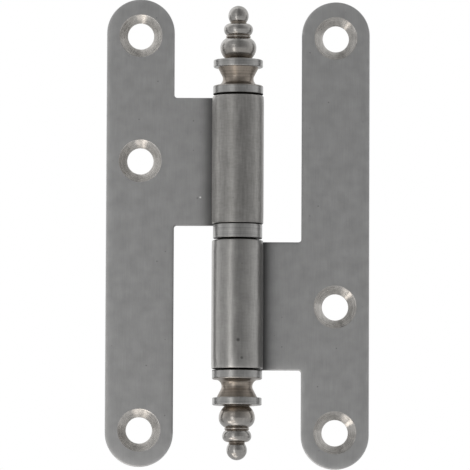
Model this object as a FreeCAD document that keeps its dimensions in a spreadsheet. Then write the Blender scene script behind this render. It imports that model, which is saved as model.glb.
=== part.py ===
import FreeCAD, Part
import math
import os
import Sketcher

from FreeCAD import Placement, Rotation, Vector

# Lift-off door hinge, open flat, in millimetres.
# Z runs along the pin, the frame leaf lies towards +X, the door leaf towards -X,
# and the countersunk faces look towards -Y.
# The origin is on the pin's axis, half-way between the ends of the two knuckles.

SIZES = (
    # Leaf
    ("leaf_height", 100.0, "leaf from end to end"),
    ("strip_width", 14.5, "round-ended strip"),
    ("tab_reach", 13.6, "pin axis to the near edge of the strip"),
    ("tab_height", 27.35, "tab and knuckle"),
    ("tab_offset", 1.55, "middle of the leaf to the near end of its tab"),
    ("tab_corner", 0.6, "radius where the tab leaves the strip"),
    ("sheet", 2.0, "thickness of the sheet"),
    ("edge_bevel", 0.2, "bevel of the sheet's cut edges"),
    # Knuckle
    ("bore", 7.0, "bore of the rolled knuckle, diameter"),
    ("roll_seam", 0.2, "rolled end to the face of the sheet"),
    # Screw holes
    ("hole_bore", 5.6, "screw hole, diameter"),
    ("hole_sink", 9.0, "countersink at the face, diameter"),
    ("sink_angle", 90.0, "countersink, full angle"),
    ("hole_near_end", 7.8, "tab end of the leaf to its first hole"),
    ("hole_middle", 34.65, "tab end of the leaf to its middle hole"),
    ("hole_far_end", 7.8, "free end of the leaf to its last hole"),
    # Ring between the knuckles
    ("ring_outer", 10.5, "ring, outer diameter"),
    ("ring_height", 3.0, "ring"),
    ("ring_edge", 0.2, "bevel of the ring's outer edges"),
    ("ring_bevel", 0.3, "bevel of the ring's bore"),
    ("play_below", 0.4, "lower knuckle to the ring"),
    ("play_above", 0.12, "ring to the upper knuckle"),
    # Pin
    ("pin_clearance", 0.05, "running clearance of pin and ring, on the radius"),
    ("pin_end_gap", 1.0, "pin to the finial shank above and below it"),
    ("pin_lead", 0.9, "bevel at the top of the pin"),
    ("pin_foot", 0.4, "bevel at the foot of the pin"),
    # Finial, heights measured from its seat
    ("finial_seam", 0.3, "end of the knuckle to the finial's seat"),
    ("shank_length", 8.0, "shank in the knuckle"),
    ("shank_lead", 0.5, "bevel at the end of the shank"),
    ("flange_outer", 10.65, "base flange, diameter"),
    ("flange_edge", 1.6, "height of the base flange's straight side"),
    ("flange_bevel", 0.3, "bevel of the base flange"),
    ("cove_waist", 6.55, "narrowest diameter of the cove"),
    ("cove_height", 3.4, "height of the narrowest place"),
    ("cove_turn", 6.8, "diameter where the cove opens into a cone"),
    ("cove_turn_height", 3.95, "height of that place"),
    ("cove_mouth", 8.7, "diameter where the cone meets the collar"),
    ("collar_outer", 10.5, "collar above the cove, diameter"),
    ("collar_foot", 5.8, "underside of the collar"),
    ("collar_top", 7.4, "top of the collar"),
    ("collar_bevel", 0.2, "bevel of the collar's edges"),
    ("bulb_neck", 5.2, "neck below the large bulb, diameter"),
    ("bulb_neck_height", 7.6, "height of that neck"),
    ("bulb_outer", 7.7, "large bulb, diameter"),
    ("bulb_height", 10.1, "height of its widest place"),
    ("bead_foot", 12.15, "underside of the small bead"),
    ("bead_groove", 4.8, "grooves beside the small bead, diameter"),
    ("bead_outer", 5.3, "small bead, diameter"),
    ("bead_depth", 0.5, "small bead, height"),
    ("bead_bevel", 0.12, "bevel of the small bead"),
    ("bud_outer", 6.2, "small bulb, diameter"),
    ("bud_height", 14.0, "height of its widest place"),
    ("ball_neck", 3.4, "neck below the ball, diameter"),
    ("ball_neck_length", 0.35, "that neck"),
    ("ball_outer", 4.35, "ball, diameter"),
    ("ball_height", 16.9, "centre of the ball"),
)

# Lengths that follow from the sheet, as expressions that more than one sub-part uses
BORE_RADIUS = "(Sizes.bore / 2)"
ROLL_RADIUS = "(Sizes.bore / 2 + Sizes.sheet)"
PIN_RADIUS = "(Sizes.bore / 2 - Sizes.pin_clearance)"
HALF_GAP = "((Sizes.ring_height + Sizes.play_below + Sizes.play_above) / 2)"
KNUCKLE_END = f"({HALF_GAP} + Sizes.tab_height)"
FINIAL_SEAT = f"({KNUCKLE_END} + Sizes.finial_seam)"

PARTS_FOLDER = "parts"


def make_sheet(doc):
    """Write the driving dimensions: value, name and meaning in one row each."""
    sheet = doc.addObject("Spreadsheet::Sheet", "Sizes")
    for row, (alias, number, meaning) in enumerate(SIZES, start=1):
        sheet.set(f"A{row}", str(number))
        sheet.setAlias(f"A{row}", alias)
        sheet.set(f"B{row}", meaning)
    doc.recompute()
    return sheet


class Outline:
    """A closed outline in a sketch of a body, every corner bound to the driving sizes.

    Corners are pairs of expressions, across and up in the plane of the sketch.
    """

    def __init__(self, body, name, plane, offset="0"):
        self.sketch = body.newObject("Sketcher::SketchObject", name)
        self.sketch.AttachmentSupport = (origin_plane(body, plane), "")
        self.sketch.MapMode = "FlatFace"
        self.sketch.setExpression("AttachmentOffset.Base.z", offset)
        self.pieces = []

    def value(self, expression):
        """Work out an expression from the sheet."""
        return float(self.sketch.evalExpression(expression))

    def spot(self, corner):
        """Return a corner's place in the sketch."""
        return Vector(self.value(corner[0]), self.value(corner[1]), 0)

    def bind(self, kind, piece, point, expression):
        """Tie one coordinate of a point to an expression."""
        place = self.value(expression)
        number = self.sketch.addConstraint(Sketcher.Constraint(kind, piece, point, place))
        self.sketch.setExpression(f"Constraints[{number}]", expression)

    def place(self, piece, point, corner):
        """Tie both coordinates of a point to a corner."""
        self.bind("DistanceX", piece, point, corner[0])
        self.bind("DistanceY", piece, point, corner[1])

    def line(self, start, end):
        """Draw a straight side."""
        piece = self.sketch.addGeometry(Part.LineSegment(self.spot(start), self.spot(end)))
        self.place(piece, 1, start)
        self.pieces.append((piece, 1, 2))

    def run(self, corners):
        """Draw straight sides from corner to corner."""
        for start, end in zip(corners, corners[1:]):
            self.line(start, end)

    def arc(self, start, end, turn, across=None, up=None):
        """Draw an arc that turns left (+1) or right (-1), with one coordinate of its centre given."""
        first = self.spot(start)
        last = self.spot(end)
        centre = arc_centre(first, last, self.known(across), self.known(up))
        angles = [math.atan2(p.y - centre.y, p.x - centre.x) for p in (first, last)]
        if turn < 0:
            angles.reverse()
        circle = Part.Circle(centre, Vector(0, 0, 1), (first - centre).Length)
        piece = self.sketch.addGeometry(Part.ArcOfCircle(circle, angles[0], angles[1]))
        start_point, end_point = (1, 2) if turn > 0 else (2, 1)
        self.place(piece, start_point, start)
        if across is not None:
            self.bind("DistanceX", piece, 3, across)
        else:
            self.bind("DistanceY", piece, 3, up)
        self.pieces.append((piece, start_point, end_point))

    def known(self, expression):
        """Return the value of an expression, or nothing where there is none."""
        return None if expression is None else self.value(expression)

    def circle(self, centre, diameter):
        """Draw a full circle."""
        radius = self.value(diameter) / 2
        piece = self.sketch.addGeometry(Part.Circle(self.spot(centre), Vector(0, 0, 1), radius))
        self.place(piece, 3, centre)
        number = self.sketch.addConstraint(Sketcher.Constraint("Diameter", piece, 2 * radius))
        self.sketch.setExpression(f"Constraints[{number}]", diameter)

    def close(self):
        """Join the end of every side to the start of the next one."""
        for index, (piece, _, end_point) in enumerate(self.pieces):
            next_piece, next_start, _ = self.pieces[(index + 1) % len(self.pieces)]
            joint = Sketcher.Constraint("Coincident", piece, end_point, next_piece, next_start)
            self.sketch.addConstraint(joint)
        return self.sketch


def arc_centre(first, last, across, up):
    """Find the point as far from one end as from the other, with one coordinate known."""
    run = last.x - first.x
    rise = last.y - first.y
    level = (last.x ** 2 - first.x ** 2 + last.y ** 2 - first.y ** 2) / 2
    if across is not None:
        return Vector(across, (level - run * across) / rise, 0)
    return Vector((level - rise * up) / run, up, 0)


def origin_plane(body, role):
    """Return one of the body's own base planes or axes."""
    for feature in body.Origin.OriginFeatures:
        if feature.Role == role:
            return feature
    raise LookupError(role)


def make_body(doc, label):
    """Start a sub-part."""
    body = doc.addObject("PartDesign::Body", label)
    body.Label = label
    return body


def pad(body, name, sketch, length, backwards):
    """Raise a sketch into the body by a length from the sheet."""
    feature = body.newObject("PartDesign::Pad", name)
    feature.Profile = sketch
    feature.setExpression("Length", length)
    feature.Reversed = backwards
    return feature


def revolve(body, name, sketch):
    """Turn a sketch once round the body's vertical axis."""
    feature = body.newObject("PartDesign::Revolution", name)
    feature.Profile = sketch
    feature.ReferenceAxis = (origin_plane(body, "Z_Axis"), [""])
    feature.Angle = 360
    return feature


def edge_names(shape, wanted):
    """Name the edges of a shape that pass a test."""
    return [f"Edge{n}" for n, edge in enumerate(shape.Edges, start=1) if wanted(edge)]


def turned(axis, height):
    """A placement turned half round an axis and raised by a height."""
    return Placement(Vector(0, 0, height), Rotation(axis, 180))


# Leaf: a blanked strip with a tab whose end is rolled into the knuckle.
# It is drawn lying towards +X with its knuckle above the origin and its countersinks facing +Y.

def leaf_blank(body):
    """The flat blank, up to where the roll starts."""
    strip_near = "Sizes.tab_reach"
    strip_far = "Sizes.tab_reach + Sizes.strip_width"
    strip_middle = "Sizes.tab_reach + Sizes.strip_width / 2"
    corner = "Sizes.tab_reach - Sizes.tab_corner"
    middle = f"({HALF_GAP} - Sizes.tab_offset)"
    bend_low = f"{middle} - Sizes.leaf_height / 2 + Sizes.strip_width / 2"
    bend_high = f"{middle} + Sizes.leaf_height / 2 - Sizes.strip_width / 2"
    tab_low = HALF_GAP
    tab_high = KNUCKLE_END
    corner_low = f"{tab_low} - Sizes.tab_corner"
    corner_high = f"{tab_high} + Sizes.tab_corner"

    outline = Outline(body, f"{body.Label}_blank", "XZ_Plane", ROLL_RADIUS)
    outline.line(("0", tab_low), (corner, tab_low))
    outline.arc((corner, tab_low), (strip_near, corner_low), -1, up=corner_low)
    outline.line((strip_near, corner_low), (strip_near, bend_low))
    outline.arc((strip_near, bend_low), (strip_far, bend_low), 1, up=bend_low)
    outline.line((strip_far, bend_low), (strip_far, bend_high))
    outline.arc((strip_far, bend_high), (strip_near, bend_high), 1, up=bend_high)
    outline.line((strip_near, bend_high), (strip_near, corner_high))
    outline.arc((strip_near, corner_high), (corner, tab_high), -1, up=corner_high)
    outline.line((corner, tab_high), ("0", tab_high))
    outline.line(("0", tab_high), ("0", tab_low))
    return pad(body, f"{body.Label}_sheet", outline.close(), "Sizes.sheet", True)


def leaf_roll(body):
    """The knuckle: the sheet runs once round the bore and stops just off its own face."""
    end_drop = "(Sizes.bore / 2 - Sizes.roll_seam)"
    end_across = f"sqrt({ROLL_RADIUS}^2 - {end_drop}^2)"
    share = f"{BORE_RADIUS} / {ROLL_RADIUS}"
    outer_corner = (end_across, f"-{end_drop}")
    inner_corner = (f"{end_across} * {share}", f"-{end_drop} * {share}")
    outer_start = ("0", f"-{ROLL_RADIUS}")
    inner_start = ("0", f"-{BORE_RADIUS}")

    outline = Outline(body, f"{body.Label}_roll", "XY_Plane", HALF_GAP)
    outline.arc(outer_start, outer_corner, -1, across="0")
    outline.line(outer_corner, inner_corner)
    outline.arc(inner_corner, inner_start, 1, across="0")
    outline.line(inner_start, outer_start)
    return pad(body, f"{body.Label}_knuckle", outline.close(), "Sizes.tab_height", False)


def leaf_holes(doc, body):
    """Three countersunk screw holes down the middle of the strip."""
    across = "Sizes.tab_reach + Sizes.strip_width / 2"
    middle = f"({HALF_GAP} - Sizes.tab_offset)"
    top = f"({middle} + Sizes.leaf_height / 2)"
    bottom = f"({middle} - Sizes.leaf_height / 2)"
    heights = (
        f"{top} - Sizes.hole_near_end",
        f"{top} - Sizes.hole_middle",
        f"{bottom} + Sizes.hole_far_end",
    )
    spots = Outline(body, f"{body.Label}_hole_centres", "XZ_Plane", BORE_RADIUS)
    for height in heights:
        spots.circle((across, height), "Sizes.hole_bore")
    doc.recompute()

    holes = body.newObject("PartDesign::Hole", f"{body.Label}_screw_holes")
    holes.Profile = spots.sketch
    holes.Threaded = False
    holes.setExpression("Diameter", "Sizes.hole_bore")
    holes.DepthType = "ThroughAll"
    holes.HoleCutType = "Countersink"
    holes.setExpression("HoleCutDiameter", "Sizes.hole_sink")
    holes.setExpression("HoleCutCountersinkAngle", "Sizes.sink_angle")
    holes.Reversed = True
    doc.recompute()
    return holes


def leaf_edges(body, base):
    """Bevel the sheet's cut edges on both faces, which carries on round the knuckle's ends."""
    front = -base.evalExpression(BORE_RADIUS)
    back = -base.evalExpression(ROLL_RADIUS)
    reach = base.evalExpression("Sizes.tab_reach")
    far = reach + base.evalExpression("Sizes.strip_width")

    def on_outline(edge):
        box = edge.BoundBox
        flat = box.YLength < 1e-3 and (abs(box.YMin - front) < 1e-3 or abs(box.YMin - back) < 1e-3)
        inside_strip = box.XMin > reach + 0.5 and box.XMax < far - 0.5
        return flat and not inside_strip

    bevel = body.newObject("PartDesign::Chamfer", f"{body.Label}_edges")
    bevel.Base = (base, edge_names(base.Shape, on_outline))
    bevel.setExpression("Size", "Sizes.edge_bevel")
    return bevel


def make_leaf(doc, label, axis):
    """One leaf with its knuckle, turned to its side of the hinge."""
    body = make_body(doc, label)
    leaf_blank(body)
    leaf_roll(body)
    holes = leaf_holes(doc, body)
    leaf_edges(body, holes)
    body.Placement = turned(axis, 0)
    return body


def make_pin(doc):
    """The pin: tight in the lower knuckle, free in the ring and the upper knuckle."""
    body = make_body(doc, "hinge_pin")
    foot = f"(-{KNUCKLE_END} + Sizes.shank_length + Sizes.pin_end_gap - Sizes.finial_seam)"
    top = f"({KNUCKLE_END} - Sizes.shank_length - Sizes.pin_end_gap + Sizes.finial_seam)"
    shoulder = f"-{HALF_GAP}"
    corners = (
        ("0", foot),
        (f"{BORE_RADIUS} - Sizes.pin_foot", foot),
        (BORE_RADIUS, f"{foot} + Sizes.pin_foot"),
        (BORE_RADIUS, shoulder),
        (PIN_RADIUS, shoulder),
        (PIN_RADIUS, f"{top} - Sizes.pin_lead"),
        (f"{PIN_RADIUS} - Sizes.pin_lead", top),
        ("0", top),
    )
    outline = Outline(body, "pin_profile", "XZ_Plane")
    outline.run(corners + corners[:1])
    revolve(body, "pin_turning", outline.close())
    return body


def make_ring(doc):
    """The loose ring that the upper knuckle turns on."""
    body = make_body(doc, "friction_ring")
    bore = f"{PIN_RADIUS} + Sizes.pin_clearance"
    side = "Sizes.ring_outer / 2"
    shoulder = f"{side} - Sizes.ring_edge"
    lip = f"{bore} + Sizes.ring_bevel"
    top = "Sizes.ring_height"
    corners = (
        (lip, "0"),
        (shoulder, "0"),
        (side, "Sizes.ring_edge"),
        (side, f"{top} - Sizes.ring_edge"),
        (shoulder, top),
        (lip, top),
        (bore, f"{top} - Sizes.ring_bevel"),
        (bore, "Sizes.ring_bevel"),
    )
    outline = Outline(body, "ring_profile", "XZ_Plane")
    outline.run(corners + corners[:1])
    revolve(body, "ring_turning", outline.close())
    body.setExpression("Placement.Base.z", f"-{HALF_GAP} + Sizes.play_below")
    return body


def finial_flanges(outline):
    """Draw the shank, the base flange, the cove and the collar; return where the neck starts."""
    shank_end = "-Sizes.shank_length"
    flange = "Sizes.flange_outer / 2"
    flange_lip = (f"{flange} - Sizes.flange_bevel", "Sizes.flange_edge + Sizes.flange_bevel")
    waist = ("Sizes.cove_waist / 2", "Sizes.cove_height")
    cove_turn = ("Sizes.cove_turn / 2", "Sizes.cove_turn_height")
    collar = "Sizes.collar_outer / 2"
    collar_lip = f"{collar} - Sizes.collar_bevel"
    neck = ("Sizes.bulb_neck / 2", "Sizes.bulb_neck_height")

    outline.run((
        ("0", shank_end),
        (f"{BORE_RADIUS} - Sizes.shank_lead", shank_end),
        (BORE_RADIUS, f"{shank_end} + Sizes.shank_lead"),
        (BORE_RADIUS, "0"),
        (flange, "0"),
        (flange, "Sizes.flange_edge"),
        flange_lip,
    ))
    outline.arc(flange_lip, waist, -1, up="Sizes.cove_height")
    outline.arc(waist, cove_turn, -1, up="Sizes.cove_height")
    outline.run((
        cove_turn,
        ("Sizes.cove_mouth / 2", "Sizes.collar_foot"),
        (collar_lip, "Sizes.collar_foot"),
        (collar, "Sizes.collar_foot + Sizes.collar_bevel"),
        (collar, "Sizes.collar_top - Sizes.collar_bevel"),
        (collar_lip, "Sizes.collar_top"),
        neck,
    ))
    return neck


def finial_bulbs(outline, neck):
    """Draw the large bulb, the bead, the small bulb and the ball, back to the axis."""
    bulb = ("Sizes.bulb_outer / 2", "Sizes.bulb_height")
    bead = "Sizes.bead_outer / 2"
    bead_top = "Sizes.bead_foot + Sizes.bead_depth"
    bead_low = ("Sizes.bead_groove / 2", "Sizes.bead_foot")
    bead_high = ("Sizes.bead_groove / 2", bead_top)
    bud = ("Sizes.bud_outer / 2", "Sizes.bud_height")
    ball_foot = "Sizes.ball_height - sqrt(Sizes.ball_outer^2 - Sizes.ball_neck^2) / 2"
    ball_neck_low = ("Sizes.ball_neck / 2", f"{ball_foot} - Sizes.ball_neck_length")
    ball_neck_high = ("Sizes.ball_neck / 2", ball_foot)
    tip = ("0", "Sizes.ball_height + Sizes.ball_outer / 2")

    outline.arc(neck, bulb, 1, up="Sizes.bulb_height")
    outline.arc(bulb, bead_low, 1, up="Sizes.bulb_height")
    outline.run((
        bead_low,
        (bead, "Sizes.bead_foot + Sizes.bead_bevel"),
        (bead, f"{bead_top} - Sizes.bead_bevel"),
        bead_high,
    ))
    outline.arc(bead_high, bud, 1, up="Sizes.bud_height")
    outline.arc(bud, ball_neck_low, 1, up="Sizes.bud_height")
    outline.line(ball_neck_low, ball_neck_high)
    outline.arc(ball_neck_high, tip, 1, across="0")
    outline.line(tip, ("0", "-Sizes.shank_length"))


def make_finial(doc, label, side):
    """One turned finial, above (+1) or below (-1) the knuckles, with its shank in the bore."""
    body = make_body(doc, label)
    outline = Outline(body, f"{label}_profile", "XZ_Plane")
    neck = finial_flanges(outline)
    finial_bulbs(outline, neck)
    revolve(body, f"{label}_turning", outline.close())
    if side < 0:
        body.Placement = turned(Vector(1, 0, 0), 0)
    seat = FINIAL_SEAT if side > 0 else f"-{FINIAL_SEAT}"
    body.setExpression("Placement.Base.z", seat)
    return body


def check_document(doc, bodies):
    """Stop if any feature failed or any sub-part is not one sound solid."""
    for item in doc.Objects:
        if "Invalid" in item.State or "Error" in item.State:
            raise RuntimeError(f"{item.Name} failed: {item.State}")
    for body in bodies:
        shape = body.Shape
        if shape.isNull() or not shape.isValid() or len(shape.Solids) != 1:
            raise RuntimeError(f"{body.Label} is not one valid solid")


def report(body):
    """Print the size of a sub-part."""
    box = body.Shape.BoundBox
    spans = ((box.XMin, box.XMax), (box.YMin, box.YMax), (box.ZMin, box.ZMax))
    sides = "  ".join(f"{low:8.3f} {high:8.3f}" for low, high in spans)
    print(f"{body.Label:14s} {body.Shape.Volume:9.2f} mm3   {sides}")


def main():
    doc = FreeCAD.newDocument("paumelle_hinge")
    make_sheet(doc)
    bodies = (
        make_leaf(doc, "door_leaf", Vector(0, 0, 1)),
        make_leaf(doc, "frame_leaf", Vector(1, 0, 0)),
        make_pin(doc),
        make_ring(doc),
        make_finial(doc, "upper_finial", 1),
        make_finial(doc, "lower_finial", -1),
    )
    doc.recompute()
    check_document(doc, bodies)
    os.makedirs(PARTS_FOLDER, exist_ok=True)
    for body in bodies:
        body.Shape.exportStep(f"{PARTS_FOLDER}/{body.Label}.step")
        report(body)


main()
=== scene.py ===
"""Dresses the lift-off door hinge: rolled leaves, loose ring, pin and turned finials in satin steel."""
import logging
import math
from dataclasses import dataclass, field, replace
from enum import Enum
from functools import partial
from typing import Callable, Iterable

import bmesh
import bpy
from mathutils import Matrix, Vector


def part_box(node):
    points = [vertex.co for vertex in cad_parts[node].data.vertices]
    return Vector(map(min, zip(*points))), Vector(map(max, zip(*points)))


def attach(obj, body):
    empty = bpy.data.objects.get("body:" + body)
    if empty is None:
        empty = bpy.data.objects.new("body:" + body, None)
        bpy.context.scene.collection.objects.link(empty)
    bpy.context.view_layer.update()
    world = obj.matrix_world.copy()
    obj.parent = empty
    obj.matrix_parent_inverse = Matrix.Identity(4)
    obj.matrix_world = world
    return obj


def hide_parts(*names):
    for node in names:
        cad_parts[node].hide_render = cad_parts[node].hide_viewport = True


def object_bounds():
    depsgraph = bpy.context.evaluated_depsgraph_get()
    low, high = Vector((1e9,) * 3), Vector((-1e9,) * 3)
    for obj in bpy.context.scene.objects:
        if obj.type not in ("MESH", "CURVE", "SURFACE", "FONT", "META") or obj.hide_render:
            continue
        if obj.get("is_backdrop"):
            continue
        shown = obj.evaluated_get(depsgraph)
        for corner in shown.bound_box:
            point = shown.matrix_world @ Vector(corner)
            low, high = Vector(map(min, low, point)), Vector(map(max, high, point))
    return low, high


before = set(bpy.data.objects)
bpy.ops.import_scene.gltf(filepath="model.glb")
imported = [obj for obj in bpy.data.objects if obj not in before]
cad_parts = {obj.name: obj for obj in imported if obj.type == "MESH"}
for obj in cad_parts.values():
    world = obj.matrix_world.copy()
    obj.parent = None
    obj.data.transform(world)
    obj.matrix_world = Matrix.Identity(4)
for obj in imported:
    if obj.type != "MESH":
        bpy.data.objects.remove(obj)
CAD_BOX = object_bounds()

MM = 0.001
SEAM_JOIN = 0.0001 * MM

# Largest angles between two places of an arc: of a form, of a small rounding and of a tiny lip
FORM_STEP = 6.0
ROUND_STEP = 15.0
LIP_STEP = 30.0

# A recess of 0 to 1 is tinted warm and dark, and painted shade, near black, fills what lies above, up to
# this
DEEP_SHADE = 2.0

# A colour ramp holds no more than 1, so the room's brightness is divided by this in it
RAMP_SCALE = 2.0

# Names of the map and the attributes that the meshes carry for their materials
GRAIN_MAP = "grain"
ALONG = "along"
RECESS = "recess"
POLISH = "polish"
CUT = "cut"
RIM = "rim"
SLOPE = "slope"

Colour = tuple[float, float, float]
Points = list[tuple[float, float]]
Corners = list[bmesh.types.BMVert]
Measure = Callable[[float, float], float]

log = logging.getLogger("hinge")


class Side(Enum):
    """The two halves of the open hinge."""

    DOOR = "door"
    FRAME = "frame"


class Cut(Enum):
    """How a face of a leaf's blank was made, which settles its finish."""

    SHEET = 0.0
    SINK = 1.0
    # Faces in the seams, which take the painted shade
    SEAM = 2.0


class Kind(Enum):
    """Names of the node groups' value sockets."""

    NUMBER = "NodeSocketFloat"
    COUNT = "NodeSocketInt"
    FINISH = "NodeSocketMaterial"


class Nodes:
    """A node tree that is built a node at a time."""

    def __init__(self, tree: bpy.types.NodeTree) -> None:
        """Keep the tree to build in."""
        self.tree = tree

    def add(self, kind: str, *inputs: object, **settings: object) -> bpy.types.Node:
        """Add a node.

        Args:
            kind: Blender's name for the node.
            inputs: what goes in, in the order of the sockets; None leaves one alone.
            settings: properties of the node.

        Returns:
            The node.
        """
        node = self.tree.nodes.new(kind)
        for name, value in settings.items():
            setattr(node, name, value)
        sockets = [socket for socket in node.inputs if socket.enabled]
        for socket, value in zip(sockets, inputs):
            self.feed(socket, value)
        return node

    def feed(self, socket: bpy.types.NodeSocket, value: object) -> None:
        """Link or set one input.

        Args:
            socket: the input.
            value: an output socket, a plain value, or None to leave the input alone.
        """
        if isinstance(value, bpy.types.NodeSocket):
            self.tree.links.new(value, socket)
        elif value is not None:
            socket.default_value = value

    def math(self, operation: str, first: object, second: object = None) -> bpy.types.NodeSocket:
        """Work out a sum, such as ADD, of one or two numbers or sockets."""
        return self.add("ShaderNodeMath", first, second, operation=operation).outputs[0]

    def times(self, first: object, *others: object) -> object:
        """Multiply values together.

        Args:
            first: a number or a socket.
            others: more of them.

        Returns:
            Their product.
        """
        product = first
        for other in others:
            product = self.math("MULTIPLY", product, other)
        return product

    def attribute(self, name: str) -> bpy.types.NodeSocket:
        """Read a number that the mesh carries."""
        return self.add("ShaderNodeAttribute", attribute_name=name).outputs["Fac"]

    def stretched(self, place: object, x_size: float, y_size: float,
                  z_size: float = 1.0) -> bpy.types.NodeSocket:
        """Scale coordinates, so that a pattern of size 1 gets these sizes along them."""
        scale = (1 / x_size, 1 / y_size, 1 / z_size)
        return self.add("ShaderNodeMapping", place, None, None, scale).outputs[0]

    def noise(self, place: object, scale: float, detail: float) -> bpy.types.NodeSocket:
        """Add a noise pattern.

        Args:
            place: the coordinates.
            scale: how fine the pattern is.
            detail: how many finer layers it has.

        Returns:
            The pattern, about 0 to 1.
        """
        node = self.tree.nodes.new("ShaderNodeTexNoise")
        self.feed(node.inputs["Vector"], place)
        node.inputs["Scale"].default_value = scale
        node.inputs["Detail"].default_value = detail
        return node.outputs["Fac"]

    def spread(self, value: object, low: float, high: float,
               to_low: float = 0.0, to_high: float = 1.0) -> bpy.types.NodeSocket:
        """Map a range of values, low to high, to another that is held at its ends."""
        return self.add("ShaderNodeMapRange", value, low, high, to_low, to_high).outputs[0]

    def sway(self, pattern: object, swing: float, middle: float = 1.0,
             margin: float = 0.25) -> bpy.types.NodeSocket:
        """Swing a value about its middle with a pattern of 0 to 1, less a margin at both its ends."""
        return self.spread(pattern, margin, 1 - margin, middle - swing, middle + swing)

    def tint(self, share: object, first: object, second: object) -> bpy.types.NodeSocket:
        """Mix two colours or sockets, by the share of the second."""
        return self.add("ShaderNodeMix", share, first, second, data_type="RGBA").outputs[2]


def opaque(colour: Colour) -> tuple[float, float, float, float]:
    """Return a colour with full cover."""
    return (*colour, 1.0)


@dataclass(frozen=True)
class SteelFinish:
    """What every steel surface of the hinge has."""

    name: str
    colour: Colour
    roughness: float
    roughness_play: float
    relief: float

    def start(self) -> tuple[bpy.types.Material, Nodes, bpy.types.Node]:
        """Make the material with its shader.

        Returns:
            The material, its nodes and the shader node.
        """
        material = bpy.data.materials.new(self.name)
        material.use_nodes = True
        nodes = Nodes(material.node_tree)
        shader = material.node_tree.nodes["Principled BSDF"]
        shader.inputs["Metallic"].default_value = 1.0
        return material, nodes, shader

    def dress(self, nodes: Nodes, shader: bpy.types.Node, colour: object, shade: object,
              roughness: object, height: object) -> None:
        """Join the finish's patterns to the shader.

        Args:
            nodes: the material's nodes.
            shader: its shader.
            colour: the steel's colour.
            shade: what the colour is multiplied by.
            roughness: the roughness.
            height: the relief's pattern, about 0 to 1.
        """
        shaded = nodes.add("ShaderNodeVectorMath", colour, shade, operation="SCALE").outputs[0]
        nodes.feed(shader.inputs["Base Color"], shaded)
        nodes.feed(shader.inputs["Roughness"], roughness)
        bump = nodes.tree.nodes.new("ShaderNodeBump")
        bump.inputs["Strength"].default_value = 1.0
        bump.inputs["Distance"].default_value = self.relief
        nodes.feed(bump.inputs["Height"], height)
        nodes.feed(shader.inputs["Normal"], bump.outputs[0])


@dataclass(frozen=True)
class Spot:
    """A nick or a speck on the front of a leaf.

    It lies so far to the right of the pin and above the middle, with a radius and a brightness.
    """

    across: float
    up: float
    radius: float
    shade: float


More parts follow.
